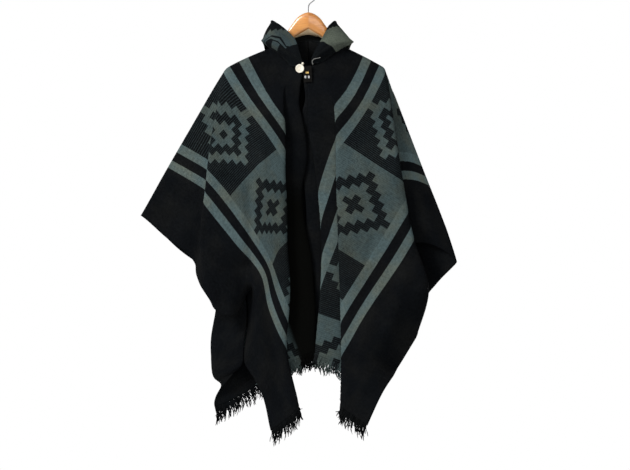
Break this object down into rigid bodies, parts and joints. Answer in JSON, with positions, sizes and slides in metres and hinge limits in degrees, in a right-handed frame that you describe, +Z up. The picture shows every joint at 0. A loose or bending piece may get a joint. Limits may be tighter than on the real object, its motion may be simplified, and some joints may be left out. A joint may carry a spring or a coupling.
{
  "type": "hooded woven poncho on a wooden hanger",
  "caption": "Open-fronted hooded poncho of loom-width cloth with stripes, stepped-diamond bands and fringed hems, hung on a varnished wooden hanger with a wire hook.",
  "frame": {"origin": "inside top of the hanger's hook, where a rail would bear", "axes": "+Z up, -Y out of the garment's front towards the viewer, +X to the viewer's right"},
  "size_m": [0.8542, 0.1334, 1.2421],
  "materials": {
    "black_cloth": "soft matt twill",
    "hood_cloth": "soft matt twill",
    "fringe_yarn": "twisted matt yarn",
    "varnished_wood": "varnished",
    "hook_wire": "bright",
    "button_shell": "glossy",
    "clasp_brass": "satin",
    "clasp_steel": "satin",
    "tab_cloth": "matt"
  },
  "bodies": {
    "root": {"panel_left": "black_cloth", "panel_right": "black_cloth", "hood_left": "hood_cloth", "hood_right": "hood_cloth", "fringe_front_left": "fringe_yarn", "fringe_front_right": "fringe_yarn", "fringe_back_left": "fringe_yarn", "fringe_back_right": "fringe_yarn", "neck_tab": "tab_cloth", "neck_button": "button_shell", "button_bead": "button_shell", "clasp_keeper": "clasp_brass", "clasp_bit_left": "clasp_steel", "clasp_bit_right": "clasp_steel", "button_loop": "tab_cloth", "hanger_wood": "varnished_wood", "hanger_hook": "hook_wire"}
  },
  "joints": []
}
